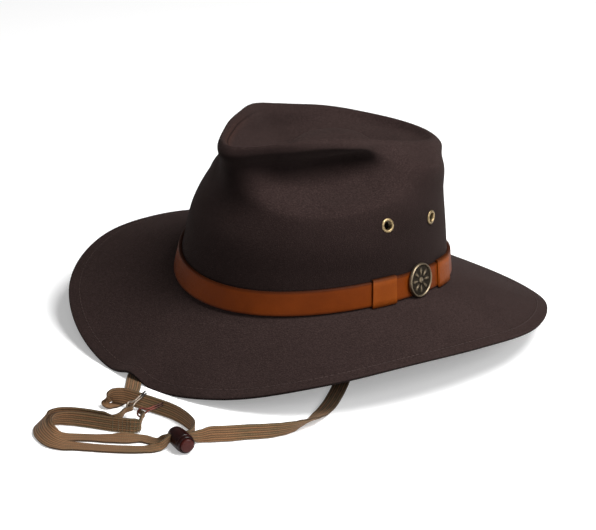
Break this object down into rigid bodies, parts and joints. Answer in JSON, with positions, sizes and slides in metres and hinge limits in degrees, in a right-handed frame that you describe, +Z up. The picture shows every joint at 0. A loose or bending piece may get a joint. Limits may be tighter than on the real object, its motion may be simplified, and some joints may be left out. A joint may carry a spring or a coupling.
{
  "type": "bush hat",
  "caption": "Wide-brimmed felt bush hat with a pinched teardrop crown, leather band, round concho, side eyelets and a loose chin lace with a cord lock.",
  "frame": {"origin": "on the surface that the hat rests on, under the centre of the brim's outline", "axes": "+Z up; the hat's front at -Y; the wearer's left, with the concho, at +X"},
  "size_m": [0.3088, 0.4532, 0.1534],
  "materials": {
    "felt": "matte wool felt",
    "band_leather": "smooth tan leather",
    "keeper_leather": "smooth tan leather",
    "aged_brass": "antiqued",
    "braid": "flat ribbed braid",
    "pin_steel": "worn",
    "pin_lacquer": "red-brown",
    "lock_body": "dark polished",
    "lock_button": "satin"
  },
  "bodies": {
    "root": {"felt_body": "felt", "hat_band": "band_leather", "keeper_front": "keeper_leather", "keeper_rear": "keeper_leather", "concho": "aged_brass", "eyelet_left_front": "aged_brass", "eyelet_left_rear": "aged_brass", "eyelet_right_front": "aged_brass", "eyelet_right_rear": "aged_brass", "chin_lace": "braid", "cotter_pin_bright": "pin_steel", "cotter_pin_brown": "pin_lacquer", "cord_lock_body": "lock_body"},
    "button": {"cord_lock_button": "lock_button"}
  },
  "joints": [
    {"name": "cord_lock_press", "type": "slide", "parent": "root", "child": "button", "axis": [0.9367, -0.3502, 0], "range_m": [-0.0025, 0], "stiffness_N_per_m": 300}
  ]
}
